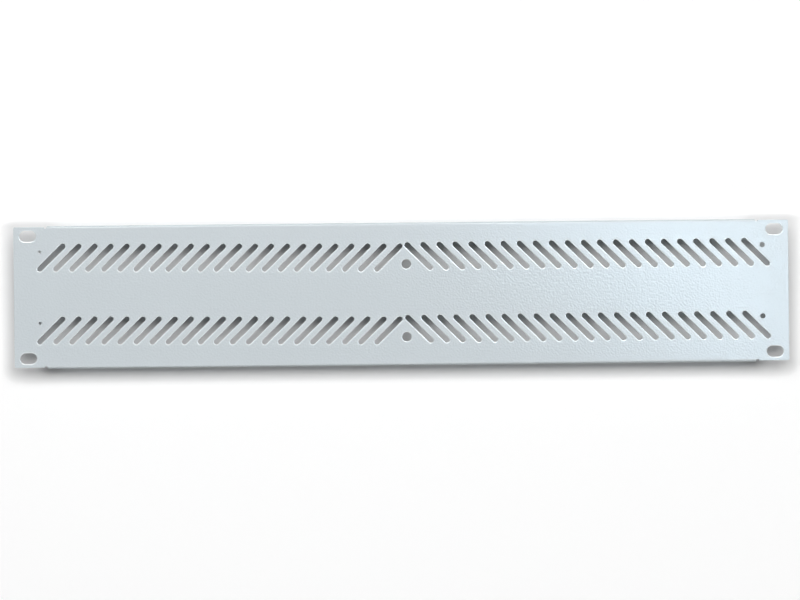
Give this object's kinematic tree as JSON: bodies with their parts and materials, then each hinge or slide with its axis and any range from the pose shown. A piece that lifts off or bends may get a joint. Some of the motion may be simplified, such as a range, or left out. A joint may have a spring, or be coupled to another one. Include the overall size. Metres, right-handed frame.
{
  "type": "rack blanking panel",
  "caption": "Flat vented blanking panel, two units high, for a 19-inch rack: a folded steel sheet with rows of slanting vents and slotted ears.",
  "frame": {"origin": "middle of the panel's length and height, on the surface that it lies on face up, which is the plane of the folds' free edges", "axes": "+X along the panel's length, towards the right ear as seen from the front; +Y up the rack, towards the upper fold; +Z out of the front face, towards the person at the rack"},
  "size_m": [0.4826, 0.0888, 0.012],
  "materials": {
    "powder_coat": "light grey powder coat, fine orange peel, satin"
  },
  "bodies": {
    "root": {"panel": "powder_coat"}
  },
  "joints": []
}
